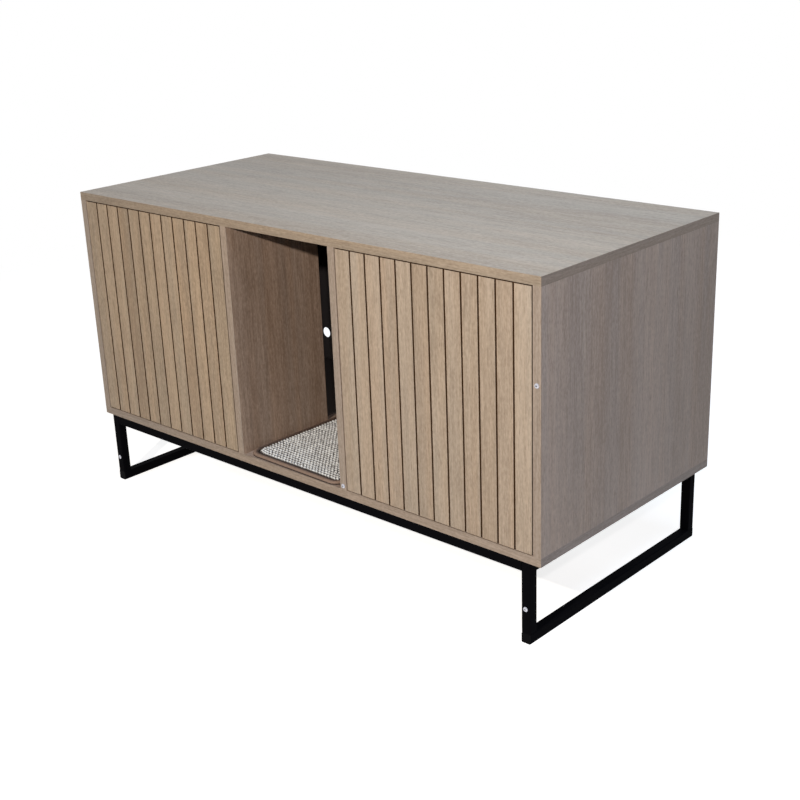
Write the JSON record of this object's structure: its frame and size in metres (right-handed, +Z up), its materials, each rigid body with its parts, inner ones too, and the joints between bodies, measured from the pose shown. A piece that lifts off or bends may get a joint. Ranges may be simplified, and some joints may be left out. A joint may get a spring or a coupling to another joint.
{
  "type": "cat house sideboard",
  "caption": "Low oak-look sideboard for a cat: slatted hinged doors at both ends, an open niche with a scratching mat between them, on a black square-tube sled frame.",
  "frame": {"origin": "on the floor, under the middle of the whole object", "axes": "+X to the right seen from the front, along the longest side; the doors face -Y; +Z is up"},
  "size_m": [1.2, 0.5374, 0.65],
  "materials": {
    "oak_board": "satin laminate with a printed oak grain",
    "oak_edge": "satin edge band with an oak grain",
    "oak_door": "satin oak grain, grooves cut through to brown fibre",
    "black_board": "matt black painted hardboard",
    "black_steel": "satin black powder coat",
    "zinc_steel": "bright zinc plate",
    "zinc_casting": "dull zinc casting",
    "beech": "bare turned wood",
    "grey_plastic": "fine moulded texture",
    "nylon": "smooth natural nylon",
    "black_plastic": "fine moulded texture",
    "magnet": "nickel plate",
    "sisal": "looped sisal-like weave",
    "binding": "woven tape",
    "rubber": "matt fine-grained sheet"
  },
  "bodies": {
    "cabinet": {"top_panel": "oak_board", "bottom_panel": "oak_board", "left_side_panel": "oak_board", "right_side_panel": "oak_board", "left_divider": "oak_board", "right_divider": "oak_board", "top_edge_bands": "oak_edge", "bottom_edge_bands": "oak_edge", "upright_edge_bands": "oak_edge", "back_panel": "black_board", "left_front_leg": "black_steel", "left_rear_leg": "black_steel", "right_front_leg": "black_steel", "right_rear_leg": "black_steel", "left_runner": "black_steel", "right_runner": "black_steel", "front_rail": "black_steel", "rear_rail": "black_steel", "left_side_bar": "black_steel", "right_side_bar": "black_steel", "leg_spigots": "black_steel", "pivot_plates": "black_steel", "pivot_pins": "black_steel", "pivot_screws": "black_steel", "latch_screws": "zinc_steel", "left_latch_spring": "zinc_steel", "right_latch_spring": "zinc_steel", "leg_screws": "zinc_steel", "frame_screws": "zinc_steel", "edge_screws": "zinc_steel", "cam_bolts": "zinc_steel", "back_panel_screws": "zinc_steel", "cam_locks": "zinc_casting", "dowels": "beech", "left_latch_housing": "grey_plastic", "right_latch_housing": "grey_plastic", "runner_end_caps": "black_plastic", "mat_field": "sisal", "mat_binding": "binding", "floor_liner": "rubber"},
    "left_door": {"left_door": "oak_door", "left_door_bushes": "black_plastic", "left_strike_plate": "zinc_steel", "left_strike_screws": "zinc_steel"},
    "right_door": {"right_door": "oak_door", "right_door_bushes": "black_plastic", "right_strike_plate": "zinc_steel", "right_strike_screws": "zinc_steel"},
    "left_latch_plunger": {"left_latch_plunger": "nylon", "left_latch_magnet": "magnet"},
    "right_latch_plunger": {"right_latch_plunger": "nylon", "right_latch_magnet": "magnet"}
  },
  "joints": [
    {"name": "left_door_hinge", "type": "hinge", "parent": "cabinet", "child": "left_door", "pos_m": [-0.56731, -0.2583, 0.402], "axis": [0, 0, -1], "range_deg": [0, 125]},
    {"name": "right_door_hinge", "type": "hinge", "parent": "cabinet", "child": "right_door", "pos_m": [0.56731, -0.2583, 0.402], "axis": [0, 0, 1], "range_deg": [0, 125]},
    {"name": "left_latch_push", "type": "slide", "parent": "cabinet", "child": "left_latch_plunger", "axis": [0, 1, 0], "range_m": [0, 0.003], "stiffness_N_per_m": 600, "springref_m": -0.003, "deforming": ["left_latch_spring"]},
    {"name": "right_latch_push", "type": "slide", "parent": "cabinet", "child": "right_latch_plunger", "axis": [0, 1, 0], "range_m": [0, 0.003], "stiffness_N_per_m": 600, "springref_m": -0.003, "deforming": ["right_latch_spring"]}
  ]
}
